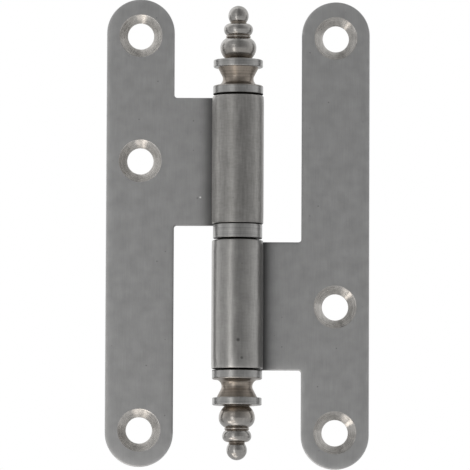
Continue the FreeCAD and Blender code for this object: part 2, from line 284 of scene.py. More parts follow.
@dataclass(frozen=True)
class SheetFinish(SteelFinish):
    """Satin sheet with a faint upright grain, slow mottling and a few pits.

    Where it is rolled it is smoother and streaked, and light and shade are painted on its flanks.
    Shade is painted in the crease beside the knuckle and along the notch, and a highlight on the rim.
    """

    rolled_roughness: float
    rolled_colour: Colour
    streak_width: float
    streak_length: float
    streak_shade: float
    grain_width: float
    grain_length: float
    grain_shade: float
    mottle_size: float
    mottle_shade: float
    pit_spacing: float
    pit_reach: float
    pit_share: float
    # Painted shade in the crease beside the knuckle
    crease_shade: float
    crease_start: float
    crease_reach: float
    # Painted highlight on the rim, and painted shade along the notch
    rim_shade: float
    # Painted light and shade on the knuckle's left and right flanks
    left_flank: float = 1.0
    right_flank: float = 1.0
    left_flank_reach: tuple[float, float] = (-3.9 * MM, -5.0 * MM)
    right_flank_reach: tuple[float, float] = (3.2 * MM, 4.6 * MM)
    roll_fade: tuple[float, float] = (-8.0 * MM, -1.0 * MM)
    cross_width: float = 0.9 * MM
    cross_length: float = 0.4 * MM
    cross_share: float = 0.7
    front_depth: float = 4.5 * MM
    crease_margin: float = 0.4 * MM
    pit_tone: float = 0.62
    pit_edge: float = 0.6
    mottle_relief: float = 1.5
    spots: tuple[Spot, ...] = ()
    spot_core: float = 0.3

    def pits(self, nodes: Nodes, place: object) -> bpy.types.NodeSocket:
        """Scatter small pits.

        Args:
            nodes: the material's nodes.
            place: the coordinates.

        Returns:
            1 in a pit and 0 elsewhere.
        """
        cells = nodes.tree.nodes.new("ShaderNodeTexVoronoi")
        nodes.feed(cells.inputs["Vector"], place)
        cells.inputs["Scale"].default_value = 1 / self.pit_spacing
        near = nodes.spread(cells.outputs["Distance"], self.pit_reach / self.pit_spacing, 0.0)
        lot = nodes.add("ShaderNodeSeparateColor", cells.outputs["Color"]).outputs[0]
        chosen = nodes.math("LESS_THAN", lot, self.pit_share)
        return nodes.times(near, chosen)

    def flanks(self, nodes: Nodes, across: object) -> bpy.types.NodeSocket:
        """Paint light and shade on the knuckle's two flanks, each by its own factor.

        Args:
            nodes: the material's nodes.
            across: distance to the right of the pin.

        Returns:
            What the rolled colour is multiplied by.
        """
        left = nodes.spread(across, *self.left_flank_reach, 1.0, self.left_flank)
        right = nodes.spread(across, *self.right_flank_reach, 1.0, self.right_flank)
        return nodes.times(left, right)

    def marks(self, nodes: Nodes, across: object, up: object, front: object) -> object:
        """Put the nicks and specks in their places.

        Args:
            nodes: the material's nodes.
            across: distance to the right of the pin.
            up: distance above the middle.
            front: 1 on the front of the leaf and 0 on its back.

        Returns:
            What the colour is multiplied by.
        """
        flat = nodes.add("ShaderNodeCombineXYZ", across, 0.0, up).outputs[0]
        shade: object = 1.0
        for spot in self.spots:
            centre = (spot.across, 0.0, spot.up)
            away = nodes.add("ShaderNodeVectorMath", flat, centre, operation="DISTANCE").outputs["Value"]
            near = nodes.spread(away, spot.radius, spot.radius * self.spot_core)
            change = nodes.times(near, front, spot.shade - 1)
            shade = nodes.times(shade, nodes.math("ADD", change, 1.0))
        return shade

    def streaks(self, nodes: Nodes, sheet: object) -> object:
        """Draw the long scratches that the rolling dies leave, with faint marks across them.

        Args:
            nodes: the material's nodes.
            sheet: the map of the sheet.

        Returns:
            What the rolled colour is multiplied by.
        """
        long = nodes.noise(nodes.stretched(sheet, self.streak_width, self.streak_length), 1.0, 3.0)
        cross = nodes.noise(nodes.stretched(sheet, self.cross_width, self.cross_length), 1.0, 4.0)
        return nodes.times(nodes.sway(long, self.streak_shade),
                           nodes.sway(cross, self.streak_shade * self.cross_share))

    def crease(self, nodes: Nodes, along: object, front: object) -> bpy.types.NodeSocket:
        """Paint shade on the front of the tab where it dives under its knuckle.

        Args:
            nodes: the material's nodes.
            along: distance along the blank.
            front: 1 on the front of the leaf and 0 on its back.

        Returns:
            What the colour is multiplied by.
        """
        beyond = nodes.math("DIVIDE", nodes.math("SUBTRACT", along, self.crease_start), self.crease_reach)
        fade = nodes.math("EXPONENT", nodes.times(beyond, beyond, -1.0))
        outside = nodes.math("GREATER_THAN", along, self.crease_start - self.crease_margin)
        return nodes.math("SUBTRACT", 1.0, nodes.times(front, outside, fade, self.crease_shade))

    def material(self) -> bpy.types.Material:
        """Build the material.

        Returns:
            The material.
        """
        material, nodes, shader = self.start()
        sheet = nodes.add("ShaderNodeUVMap", uv_map=GRAIN_MAP).outputs[0]
        along = nodes.add("ShaderNodeSeparateXYZ", sheet).outputs[0]
        place = nodes.add("ShaderNodeTexCoord").outputs["Object"]
        across, depth, up = nodes.add("ShaderNodeSeparateXYZ", place).outputs
        front = nodes.math("LESS_THAN", depth, self.front_depth)
        flat = nodes.spread(along, *self.roll_fade)
        grain = nodes.noise(nodes.stretched(sheet, self.grain_width, self.grain_length), 1.0, 4.0)
        mottle = nodes.noise(sheet, 1 / self.mottle_size, 5.0)
        pits = self.pits(nodes, sheet)
        # Painted light and shade on the knuckle's flanks, times the real streaks
        streaks_and_flank_light = nodes.times(self.flanks(nodes, across), self.streaks(nodes, sheet))
        # Painted highlight on the rim, painted shade along the notch
        rim_light = nodes.times(nodes.attribute(RIM), self.rim_shade)
        # Painted shade in the crease, with the real grain, mottle, pits and marks
        shade = nodes.times(
            self.crease(nodes, along, front),
            nodes.sway(grain, self.grain_shade),
            nodes.sway(mottle, self.mottle_shade, margin=0.3),
            nodes.spread(pits, 0.0, self.pit_edge, 1.0, self.pit_tone),
            nodes.math("ADD", nodes.times(streaks_and_flank_light, nodes.math("SUBTRACT", 1.0, flat)), flat),
            nodes.math("ADD", rim_light, 1.0),
            self.marks(nodes, across, up, front),
        )
        colour = nodes.tint(flat, opaque(self.rolled_colour), opaque(self.colour))
        base = nodes.spread(flat, 0.0, 1.0, self.rolled_roughness, self.roughness)
        play = nodes.sway(mottle, self.roughness_play, middle=0.0, margin=0.3)
        slow = nodes.times(mottle, self.mottle_relief)
        height = nodes.math("SUBTRACT", nodes.math("ADD", grain, slow), pits)
        self.dress(nodes, shader, colour, shade, nodes.math("ADD", base, play), height)
        return material


@dataclass(frozen=True)
class TurnedFinish(SteelFinish):
    """Steel turned on a lathe: fine rings, a warmer tone in the recesses and painted shade in the seams and
    grooves.
    """

    recess_colour: Colour
    seam_shade_colour: Colour
    ring_pitch: float
    ring_shade: float
    ring_drift: float = 0.6
    drift_scale: float = 300.0
    polished_roughness: float = 0.25
    polished_rings: float = 0.4
    seam_shade_depth: tuple[float, float] = (1.0, 1.6)
    seam_shade_roughness: float = 0.3
    speck_size: float = 0.4 * MM
    speck_rise: float = 1 / 0.3
    speck_shade: float = 0.10
    lean: float = 0.0
    sheen_stretch: float = 0.0

    def rings(self, nodes: Nodes, place: object) -> bpy.types.NodeSocket:
        """Draw the turning marks, which wander a little.

        Args:
            nodes: the material's nodes.
            place: the coordinates.

        Returns:
            The pattern, about 0 to 1.
        """
        drift = nodes.times(nodes.noise(place, self.drift_scale, 1.0), self.ring_drift)
        steps = nodes.math("ADD", nodes.math("DIVIDE", nodes.attribute(ALONG), self.ring_pitch), drift)
        return nodes.noise(nodes.add("ShaderNodeCombineXYZ", steps, 0.0, 0.0).outputs[0], 1.0, 3.0)

    def material(self) -> bpy.types.Material:
        """Build the material.

        Returns:
            The material.
        """
        material, nodes, shader = self.start()
        recess = nodes.attribute(RECESS)
        polish = nodes.attribute(POLISH)
        place = nodes.add("ShaderNodeTexCoord").outputs["Object"]
        across = nodes.add("ShaderNodeSeparateXYZ", place).outputs[0]
        rings = self.rings(nodes, place)
        blotch = nodes.noise(nodes.stretched(place, 1.0, 1.0, self.speck_rise), 1 / self.speck_size, 3.0)
        # Painted shade, near black, where the recess passes 1, in the seams and grooves
        painted_shade = nodes.spread(recess, *self.seam_shade_depth)
        warm = nodes.tint(nodes.spread(recess, 0.0, 1.0), opaque(self.colour), opaque(self.recess_colour))
        colour = nodes.tint(painted_shade, warm, opaque(self.seam_shade_colour))
        calm = nodes.spread(polish, 0.0, 1.0, 1.0, self.polished_rings)
        lines = nodes.times(nodes.sway(rings, self.ring_shade, middle=0.0), calm)
        shade = nodes.times(nodes.math("ADD", lines, 1.0), nodes.sway(blotch, self.speck_shade, margin=0.3))
        base = nodes.spread(polish, 0.0, 1.0, self.roughness, self.polished_roughness)
        play = nodes.sway(rings, self.roughness_play, middle=0.0, margin=0.2)
        rough = nodes.math("ADD", nodes.math("ADD", base, play), nodes.times(painted_shade, self.seam_shade_roughness))
        height = nodes.math("ADD", nodes.times(rings, calm), nodes.times(across, self.lean / self.relief))
        self.dress(nodes, shader, colour, shade, rough, height)
        if self.sheen_stretch:
            self.stretch_sheen(nodes, shader)
        return material

    def stretch_sheen(self, nodes: Nodes, shader: bpy.types.Node) -> None:
        """Stretch the sheen across the turning marks.

        Args:
            nodes: the material's nodes.
            shader: its shader.
        """
        slope = nodes.add("ShaderNodeAttribute", attribute_name=SLOPE).outputs["Vector"]
        turned = nodes.add("ShaderNodeVectorTransform", slope, vector_type="VECTOR",
                           convert_from="OBJECT", convert_to="WORLD")
        nodes.feed(shader.inputs["Tangent"], turned.outputs[0])
        shader.inputs["Anisotropic"].default_value = self.sheen_stretch


@dataclass(frozen=True)
class SeamShadeFinish(SteelFinish):
    """Painted shade, near black, on the faces that close on each other."""

    blotch_scale: float = 1200.0
    blotch_shade: float = 0.3

    def material(self) -> bpy.types.Material:
        """Build the material.

        Returns:
            The material.
        """
        material, nodes, shader = self.start()
        place = nodes.add("ShaderNodeTexCoord").outputs["Object"]
        blotch = nodes.noise(place, self.blotch_scale, 3.0)
        shade = nodes.sway(blotch, self.blotch_shade, margin=0.3)
        rough = nodes.sway(blotch, self.roughness_play, middle=self.roughness, margin=0.3)
        self.dress(nodes, shader, self.colour, shade, rough, blotch)
        return material


SHEET = SheetFinish(
    name="satin_sheet", colour=(0.366, 0.366, 0.366), roughness=0.47, roughness_play=0.03, relief=5e-6,
    rolled_roughness=0.35, rolled_colour=(0.324, 0.318, 0.308),
    streak_width=0.42 * MM, streak_length=4.2 * MM, streak_shade=0.24,
    grain_width=0.2 * MM, grain_length=5.0 * MM, grain_shade=0.05,
    mottle_size=2.6 * MM, mottle_shade=0.065, pit_spacing=1.9 * MM, pit_reach=0.2 * MM, pit_share=0.22,
    crease_shade=0.64, crease_start=5.5 * MM, crease_reach=1.25 * MM, rim_shade=0.26,
)
SHEETS = {
    Side.DOOR: replace(
        SHEET, name="door_sheet", rolled_colour=(0.274, 0.268, 0.258), rolled_roughness=0.40,
        streak_shade=0.13, left_flank=1.75, right_flank=1.16, crease_reach=1.7 * MM,
        spots=(
            Spot(-8.0 * MM, 7.75 * MM, 0.26 * MM, 2.6),
            Spot(-8.6 * MM, 7.6 * MM, 0.3 * MM, 0.75),
        ),
    ),
    Side.FRAME: replace(
        SHEET, name="frame_sheet", rolled_roughness=0.31, streak_shade=0.09, crease_shade=0.74,
        left_flank=1.15, right_flank=0.86,
        spots=(
            Spot(0.2 * MM, -23.2 * MM, 0.5 * MM, 0.4),
            Spot(1.0 * MM, -27.0 * MM, 0.42 * MM, 0.45),
        ),
    ),
}
# Painted shade for the leaves' faces that lie in the seams
SEAM_SHADE = SeamShadeFinish(
    name="seam_shade", colour=(0.03, 0.028, 0.026), roughness=0.6, roughness_play=0.1, relief=8e-6,
)
TURNED = TurnedFinish(
    name="turned_steel", colour=(0.330, 0.327, 0.320), roughness=0.31, roughness_play=0.04, relief=3e-6,
    recess_colour=(0.275, 0.24, 0.205), seam_shade_colour=(0.02, 0.018, 0.016),
    ring_pitch=0.33 * MM, ring_shade=0.28,
)
SUNK = TurnedFinish(
    name="sunk_steel", colour=(0.440, 0.426, 0.407), roughness=0.31, roughness_play=0.06, relief=3e-6,
    recess_colour=(0.50, 0.48, 0.46), seam_shade_colour=(0.1, 0.1, 0.1),
    ring_pitch=0.3 * MM, ring_shade=0.15,
    speck_size=0.7 * MM, speck_shade=0.15, sheen_stretch=0.8,
)
SINKS = {
    Side.DOOR: replace(SUNK, name="door_sinks", colour=(0.478, 0.463, 0.442), roughness=0.27, lean=0.06),
    Side.FRAME: replace(SUNK, name="frame_sinks", roughness=0.28, lean=-0.24),
}
GROUND = TurnedFinish(
    name="ground_pin", colour=(0.30, 0.30, 0.30), roughness=0.24, roughness_play=0.04, relief=2e-6,
    recess_colour=(0.24, 0.23, 0.22), seam_shade_colour=(0.02, 0.018, 0.016),
    ring_pitch=0.10 * MM, ring_shade=0.03,
)


class Workshop:
    """The finished materials, each made once."""

    def __init__(self) -> None:
        """Start with nothing made."""
        self.made: dict[str, bpy.types.Material] = {}

    def material(self, finish: SheetFinish | TurnedFinish | SeamShadeFinish) -> bpy.types.Material:
        """Find the material of a finish, and make it the first time.

        Args:
            finish: the finish.

        Returns:
            Its material.
        """
        if finish.name not in self.made:
            self.made[finish.name] = finish.material()
        return self.made[finish.name]


def new_group(name: str, sockets: Iterable[tuple[str, Kind]],
              ) -> tuple[Nodes, bpy.types.Node, dict[str, str]]:
    """Start a geometry node group.

    Args:
        name: the group's name.
        sockets: its inputs after the geometry.

    Returns:
        Its nodes, its input node, and each input's identifier.
    """
    tree = bpy.data.node_groups.new(name, "GeometryNodeTree")
    tree.interface.new_socket(name="Geometry", in_out="INPUT", socket_type="NodeSocketGeometry")
    tree.interface.new_socket(name="Geometry", in_out="OUTPUT", socket_type="NodeSocketGeometry")
    keys = {}
    for label, kind in sockets:
        item = tree.interface.new_socket(name=label, in_out="INPUT", socket_type=kind.value)
        keys[label] = item.identifier
    nodes = Nodes(tree)
    return nodes, nodes.add("NodeGroupInput"), keys


def run_group(piece: bpy.types.Object, nodes: Nodes, keys: dict[str, str],
              values: dict[str, object]) -> bpy.types.Object:
    """Run a node group on a piece and keep the result as a plain mesh.

    Args:
        piece: the piece that the group works on.
        nodes: the group's nodes.
        keys: the identifier of each input.
        values: what goes into each input.

    Returns:
        The piece, with its new mesh.
    """
    modifier = piece.modifiers.new(nodes.tree.name, "NODES")
    modifier.node_group = nodes.tree
    for label, value in values.items():
        modifier[keys[label]] = value
    piece.update_tag()
    bpy.context.view_layer.update()
    graph = bpy.context.evaluated_depsgraph_get()
    mesh = bpy.data.meshes.new_from_object(piece.evaluated_get(graph), preserve_all_data_layers=True,
                                           depsgraph=graph)
    piece.modifiers.remove(modifier)
    piece.data = mesh
    return piece


def put_in_scene(name: str, data: bpy.types.ID) -> bpy.types.Object:
    """Put a mesh, a light or a camera in the scene.

    Args:
        name: the object's name.
        data: what it shows.

    Returns:
        The object.
    """
    item = bpy.data.objects.new(name, data)
    bpy.context.scene.collection.objects.link(item)
    return item


def settle(piece: bpy.types.Object, turn: Matrix) -> None:
    """Turn a piece's mesh to its place, with closed seams and faces that point outwards.

    Args:
        piece: the piece.
        turn: how its mesh is placed.
    """
    work = bmesh.new()
    work.from_mesh(piece.data)
    bmesh.ops.remove_doubles(work, verts=work.verts, dist=SEAM_JOIN)
    bmesh.ops.transform(work, matrix=turn, verts=work.verts)
    bmesh.ops.recalc_face_normals(work, faces=work.faces)
    if work.calc_volume(signed=True) < 0:
        bmesh.ops.reverse_faces(work, faces=work.faces)
    for face in work.faces:
        face.smooth = True
    work.to_mesh(piece.data)
    work.free()
    piece.data.update()


def arc_points(centre: tuple[float, float], radius: float, first: float, last: float,
               steps: int) -> Points:
    """Lay points on an arc in equal steps, both ends included, from angles in degrees."""
    angles = [math.radians(first + (last - first) * step / steps) for step in range(steps + 1)]
    return [(centre[0] + radius * math.cos(a), centre[1] + radius * math.sin(a)) for a in angles]


@dataclass
class Leaf:
    """One leaf: a blank with a tab, rolled into its knuckle by the rule that the real one follows.

    The blank is drawn flat, along and up, and lies towards +X with its knuckle above the origin.
    """

    side: Side
    strip_width: float = 14.5 * MM
    tab_reach: float = 13.6 * MM
    tab_height: float = 27.35 * MM
    tab_corner: float = 0.6 * MM
    half_gap: float = 1.76 * MM
    sheet: float = 2.0 * MM
    edge: float = 0.2 * MM
    crease: float = 0.03 * MM
    draw_in: float = 0.08 * MM
    # Reach of the painted highlight on the rim; depth and reach of the painted shade along the notch
    rim_reach: float = 0.5 * MM
    notch_dark: float = 1.5
    notch_reach: float = 0.2 * MM
    seam_margin: float = 0.01 * MM
    draw_reach: float = 0.7 * MM
    draw_steps: tuple[float, ...] = (2.4 * MM, 1.6 * MM, 1.1 * MM, 0.75 * MM, 0.48 * MM)
    roll_seam: float = 0.2 * MM
    hole_radius: float = 2.8 * MM
    sink_radius: float = 4.5 * MM
    sink_edge: float = 0.07 * MM
    hole_near_end: float = 7.8 * MM
    hole_middle: float = 34.65 * MM
    roll_steps: int = 150
    end_steps: int = 48
    corner_steps: int = 6
    edge_steps: int = 4
    hole_steps: int = 72
    node: str = field(init=False)
    turn: Matrix = field(init=False)
    bottom: float = field(init=False)
    top: float = field(init=False)
    roll_radius: float = field(init=False)
    neutral: float = field(init=False)
    roll_angle: float = field(init=False)

    def __post_init__(self) -> None:
        """Read the leaf's place from the frame."""
        self.node = f"{self.side.value}_leaf"
        low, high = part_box(self.node)
        if self.side is Side.DOOR:
            self.turn = Matrix.Rotation(math.pi, 4, "Z")
            self.bottom, self.top = low.z, high.z
        else:
            self.turn = Matrix.Rotation(math.pi, 4, "X")
            self.bottom, self.top = -high.z, -low.z
        self.roll_radius = high.y
        self.neutral = self.roll_radius - self.sheet / 2
        stop = math.asin((self.roll_radius - self.sheet - self.roll_seam) / self.roll_radius)
        self.roll_angle = 1.5 * math.pi + stop

    def outline(self, inset: float) -> Points:
        """Draw the flat blank's outline, moved into the sheet.

        Args:
            inset: how far it is moved.

        Returns:
            Corners along and up, the lower side of the roll first.
        """
        reach, corner, half = self.tab_reach, self.tab_corner, self.strip_width / 2
        low, high = self.half_gap, self.half_gap + self.tab_height
        middle = reach + half
        roll_end = -self.roll_angle * self.neutral + inset
        share = [step / self.roll_steps for step in range(self.roll_steps + 1)]
        points = [(roll_end * (1 - part), low + inset) for part in share]
        points += arc_points((reach - corner, low - corner), corner + inset, 90, 0, self.corner_steps)
        points += arc_points((middle, self.bottom + half), half - inset, 180, 360, self.end_steps)
        points += arc_points((middle, self.top - half), half - inset, 0, 180, self.end_steps)
        points += arc_points((reach - corner, high + corner), corner + inset, 0, -90, self.corner_steps)
        points += [(roll_end * (1 - part), high - inset) for part in reversed(share)]
        return points

    def rim(self) -> Points:
        """Draw the section of the rim, whose faces the press draws in a little near the cut edge.

        Returns:
            Inset and height above the back of each place, front face first.
        """
        edge, crease, top = self.edge, self.crease, self.sheet
        front = arc_points((edge, top - edge), edge, 90, 180, self.edge_steps)
        back = arc_points((edge, edge), edge, 180, 270, self.edge_steps)
        sides = [(0.0, top - edge - crease), (0.0, edge + crease)]
        insets = list(self.draw_steps) + [edge + crease]
        section = [(inset, top) for inset in insets] + front + sides + back
        section += [(inset, 0.0) for inset in reversed(insets)]
        drawn = []
        for inset, height in section:
            drop = 0.0
            if inset < max(self.draw_steps):
                drop = self.draw_in * math.exp(-inset / self.draw_reach)
            drawn.append((inset, height + (drop if height < top / 2 else -drop)))
        return drawn

    def rim_tone(self, index: int, inset: float) -> float:
        """Tell how much highlight is painted on the rim.

        Shade is painted along the notch: the roll's lower edge, the corner and the strip down to its
        rounded end.

        Args:
            index: which corner of the outline it is.
            inset: how far it lies inside the outline.

        Returns:
            The share of the rim's tone: painted highlight above 0, painted shade below 0.
        """
        notch_corners = (self.roll_steps + 1) + (self.corner_steps + 1) + 1
        if index < notch_corners:
            return -self.notch_dark * math.exp(-inset / self.notch_reach)
        return math.exp(-inset / self.rim_reach)

    def bore_section(self) -> Points:
        """Draw the section of a screw hole.

        Returns:
            Radius and height above the back of each place, front face first.
        """
        edge, crease, top = self.sink_edge, self.crease, self.sheet
        slope = self.sink_radius - self.hole_radius
        land = top - slope
        half = edge / 2
        return [
            (self.sink_radius + edge + crease, top),
            (self.sink_radius + edge, top),
            (self.sink_radius + half / 2, top - half / 3),
            (self.sink_radius - half, top - half - half / 3),
            (self.sink_radius - edge - crease, top - edge - crease),
            (self.hole_radius + half + crease, land + half + crease),
            (self.hole_radius + half / 2, land + half / 2),
            (self.hole_radius, land - half / 2),
            (self.hole_radius, land - half - crease),
            (self.hole_radius, half + crease),
            (self.hole_radius, half),
            (self.hole_radius + half / 2, 0.0),
            (self.hole_radius + half / 2 + crease, 0.0),
        ]

    def hole_heights(self) -> tuple[float, float, float]:
        """Return the heights of the three screw holes."""
        near, middle = self.hole_near_end, self.hole_middle
        return self.top - near, self.top - middle, self.bottom + near

    def circle(self, centre: tuple[float, float], radius: float) -> Points:
        """Lay the corners of one loop of a screw hole."""
        return arc_points(centre, radius, 0, 360, self.hole_steps)[:-1]

    def loops(self, work: bmesh.types.BMesh, points: Callable[[float], Points],
              section: Points) -> list[Corners]:
        """Lay one loop of corners for each place of a section.

        Args:
            work: the mesh.
            points: gives a loop's corners for an inset or radius.
            section: inset or radius, and height above the back.

        Returns:
            The loops.
        """
        made = []
        for inset, height in section:
            depth = height - self.roll_radius
            made.append([work.verts.new((x, depth, z)) for x, z in points(inset)])
        return made

    def bridge(self, work: bmesh.types.BMesh, loops: list[Corners]) -> list[bmesh.types.BMFace]:
        """Join loops of equal length, one after the other.

        Args:
            work: the mesh.
            loops: the loops.

        Returns:
            The faces.
        """
        faces = []
        for first, second in zip(loops, loops[1:]):
            for index, corner in enumerate(first):
                after = (index + 1) % len(first)
                faces.append(work.faces.new((corner, first[after], second[after], second[index])))
        return faces

    def skin(self, work: bmesh.types.BMesh, rim: Corners, holes: list[Corners]) -> None:
        """Close one face of the blank: strips over the roll, a fill with holes over the rest.

        Args:
            work: the mesh.
            rim: the innermost loop of the outline on that face.
            holes: the outermost loop of each hole on that face.
        """
        count = self.roll_steps
        lower = rim[:count + 1]
        upper = list(reversed(rim[-count - 1:]))
        for step in range(count):
            work.faces.new((lower[step], lower[step + 1], upper[step + 1], upper[step]))
        flat = rim[count:len(rim) - count]
        edges = []
        for loop in [flat] + holes:
            for index, corner in enumerate(loop):
                pair = (corner, loop[(index + 1) % len(loop)])
                edges.append(work.edges.get(pair) or work.edges.new(pair))
        bmesh.ops.triangle_fill(work, use_beauty=True, use_dissolve=False, edges=edges)

    def edge_loops(self, work: bmesh.types.BMesh) -> list[Corners]:
        """Lay the blank's rim, and mark its painted light and shade and where it closes on other pieces.

        Args:
            work: the mesh, with its layers.

        Returns:
            The loops of the rim, front face first.
        """
        cut = work.faces.layers.float[CUT]
        rim_light = work.verts.layers.float[RIM]
        section = self.rim()
        rim = self.loops(work, self.outline, section)
        for loop, (inset, _) in zip(rim, section):
            for index, corner in enumerate(loop):
                corner[rim_light] = self.rim_tone(index, inset)
        low = self.half_gap + self.seam_margin
        high = self.half_gap + self.tab_height - self.seam_margin
        for face in self.bridge(work, rim):
            middle = face.calc_center_median()
            # Faces of the knuckle's ends lie in the seams and take the painted shade
            if middle.x < 0 and not low < middle.z < high:
                face[cut] = Cut.SEAM.value
        return rim

    def hole_loops(self, work: bmesh.types.BMesh, height: float) -> list[Corners]:
        """Lay one screw hole and mark it as sunk.

        Args:
            work: the mesh, with its layers.
            height: the hole's height.

        Returns:
            The loops of the hole, front face first.
        """
        cut = work.faces.layers.float[CUT]
        along = work.verts.layers.float[ALONG]
        centre = (self.tab_reach + self.strip_width / 2, height)
        section = self.bore_section()
        loops = self.loops(work, partial(self.circle, centre), section)
        for face in self.bridge(work, loops):
            face[cut] = Cut.SINK.value
        for loop, (radius, rise) in zip(loops, section):
            for corner in loop:
                corner[along] = radius + rise
        return loops

    def blank(self) -> bpy.types.Mesh:
        """Build the flat blank.

        Returns:
            Its mesh, with the map of its grain and with its rim, sinks and seams marked.
        """
        work = bmesh.new()
        work.faces.layers.float.new(CUT)
        work.verts.layers.float.new(ALONG)
        work.verts.layers.float.new(RIM)
        rim = self.edge_loops(work)
        holes = [self.hole_loops(work, height) for height in self.hole_heights()]
        self.skin(work, rim[0], [loops[0] for loops in holes])
        self.skin(work, rim[-1], [loops[-1] for loops in holes])
        grain = work.loops.layers.uv.new(GRAIN_MAP)
        for face in work.faces:
            for corner in face.loops:
                corner[grain].uv = (corner.vert.co.x, corner.vert.co.z)
        mesh = bpy.data.meshes.new(self.node + "_blank")
        work.to_mesh(mesh)
        work.free()
        return mesh

    def roll_group(self) -> tuple[Nodes, dict[str, str]]:
        """Build the rule that rolls a flat blank round the pin and gives each stretch its finish.

        Returns:
            The group's nodes and the identifiers of its inputs.
        """
        nodes, given, keys = new_group("roll_the_tab", (
            ("Neutral radius", Kind.NUMBER),
            ("Sheet finish", Kind.FINISH),
            ("Sink finish", Kind.FINISH),
            ("Seam finish", Kind.FINISH),
        ))
        place = nodes.add("GeometryNodeInputPosition").outputs[0]
        across, depth, up = nodes.add("ShaderNodeSeparateXYZ", place).outputs
        angle = nodes.math("DIVIDE", nodes.times(across, -1.0), given.outputs["Neutral radius"])
        rolled_x = nodes.times(nodes.math("SINE", angle), depth)
        rolled_y = nodes.times(nodes.math("COSINE", angle), depth)
        rolled = nodes.add("ShaderNodeCombineXYZ", rolled_x, rolled_y, up).outputs[0]
        bent = nodes.add("FunctionNodeCompare", across, 0.0, data_type="FLOAT", operation="LESS_THAN")
        bend = nodes.add("GeometryNodeSetPosition", given.outputs["Geometry"], bent.outputs[0], rolled)
        done = nodes.add("GeometryNodeRealizeInstances", bend.outputs[0])
        mark = nodes.add("GeometryNodeInputNamedAttribute", CUT, data_type="FLOAT").outputs[0]
        for kind in Cut:
            this = nodes.add("FunctionNodeCompare", mark, kind.value, data_type="FLOAT", operation="EQUAL")
            done = nodes.add("GeometryNodeSetMaterial", done.outputs[0], this.outputs[0],
                             given.outputs[f"{kind.name.title()} finish"])
        nodes.add("NodeGroupOutput", done.outputs[0])
        return nodes, keys

    def mark_slopes(self, piece: bpy.types.Object) -> None:
        """Mark on each corner the way out from the nearest screw hole.

        Args:
            piece: the leaf, in its place.
        """
        across = self.tab_reach + self.strip_width / 2
        centres = [self.turn @ Vector((across, 0.0, height)) for height in self.hole_heights()]
        slopes = piece.data.attributes.new(SLOPE, "FLOAT_VECTOR", "POINT")
        for corner, slope in zip(piece.data.vertices, slopes.data):
            ways = [Vector((corner.co.x - centre.x, 0.0, corner.co.z - centre.z)) for centre in centres]
            slope.vector = min(ways, key=lambda way: way.length).normalized()

    def build(self, shop: Workshop) -> bpy.types.Object:
        """Build and dress the leaf.

        Args:
            shop: where its materials come from.

        Returns:
            The piece.
        """
        piece = put_in_scene(f"{self.node}_rolled", self.blank())
        nodes, keys = self.roll_group()
        run_group(piece, nodes, keys, {
            "Neutral radius": self.neutral,
            "Sheet finish": shop.material(SHEETS[self.side]),
            "Sink finish": shop.material(SINKS[self.side]),
            "Seam finish": shop.material(SEAM_SHADE),
        })
        settle(piece, self.turn)
        self.mark_slopes(piece)
        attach(piece, f"{self.side.value}_half")
        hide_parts(self.node)
        return piece


def nowhere(radius: float, height: float) -> float:
    """Return 0, for a finish that no place of a profile has."""
    return 0.0


@dataclass
class Lathe:
    """Turns a profile once round the pin's axis."""

    steps: int = 128
    path_radius: float = 20.0 * MM

    def turn(self, name: str, profile: Points, closed: bool, recess: Measure,
             finish: bpy.types.Material, polish: Measure = nowhere) -> bpy.types.Object:
        """Turn a profile.

        Args:
            name: the piece's name.
            profile: radius and height of each place.
            closed: whether the last place joins the first.
            recess: gives how deep a place lies from its radius and height, above 1 where painted shade
                lies.
            finish: the piece's material.
            polish: gives how smooth a place is, 0 to 1.

        Returns:
            The piece.
        """
        piece = put_in_scene(name, self.profile_mesh(name, profile, closed, recess, polish))
        nodes, keys = self.group()
        return run_group(piece, nodes, keys, {
            "Path radius": self.path_radius,
            "Steps round": self.steps,
            "Finish": finish,
        })

    def profile_mesh(self, name: str, profile: Points, closed: bool, recess: Measure,
                     polish: Measure) -> bpy.types.Mesh:
        """Lay the profile as a chain of edges, with its length, recess and polish on each place.

        Args:
            name: the mesh's name.
            profile: radius and height of each place.
            closed: whether the last place joins the first.
            recess: gives how deep a place lies.
            polish: gives how smooth a place is.

        Returns:
            The mesh.
        """
        work = bmesh.new()
        along = work.verts.layers.float.new(ALONG)
        shade = work.verts.layers.float.new(RECESS)
        smooth = work.verts.layers.float.new(POLISH)
        run = 0.0
        chain = []
        for index, (radius, height) in enumerate(profile):
            if index:
                run += math.dist(profile[index - 1], profile[index])
            corner = work.verts.new((radius - self.path_radius, -height, 0.0))
            corner[along] = run
            corner[shade] = recess(radius, height)
            corner[smooth] = polish(radius, height)
            chain.append(corner)
        for first, second in zip(chain, chain[1:]):
            work.edges.new((first, second))
        if closed:
            work.edges.new((chain[-1], chain[0]))
        mesh = bpy.data.meshes.new(name + "_profile")
        work.to_mesh(mesh)
        work.free()
        return mesh

    def group(self) -> tuple[Nodes, dict[str, str]]:
        """Build the rule: a profile carried round a circle, its inner end on the axis.

        Returns:
            The group's nodes and the identifiers of its inputs.
        """
        nodes, given, keys = new_group("turn_on_the_axis", (
            ("Path radius", Kind.NUMBER),
            ("Steps round", Kind.COUNT),
            ("Finish", Kind.FINISH),
        ))
        outline = nodes.add("GeometryNodeMeshToCurve", given.outputs["Geometry"])
        path = nodes.tree.nodes.new("GeometryNodeCurvePrimitiveCircle")
        nodes.feed(path.inputs["Resolution"], given.outputs["Steps round"])
        nodes.feed(path.inputs["Radius"], given.outputs["Path radius"])
        carried = nodes.tree.nodes.new("GeometryNodeCurveToMesh")
        nodes.feed(carried.inputs["Curve"], path.outputs[0])
        nodes.feed(carried.inputs["Profile Curve"], outline.outputs[0])
        plain = nodes.add("GeometryNodeRealizeInstances", carried.outputs[0])
        done = nodes.add("GeometryNodeSetMaterial", plain.outputs[0], True, given.outputs["Finish"])
        nodes.add("NodeGroupOutput", done.outputs[0])
        return nodes, keys


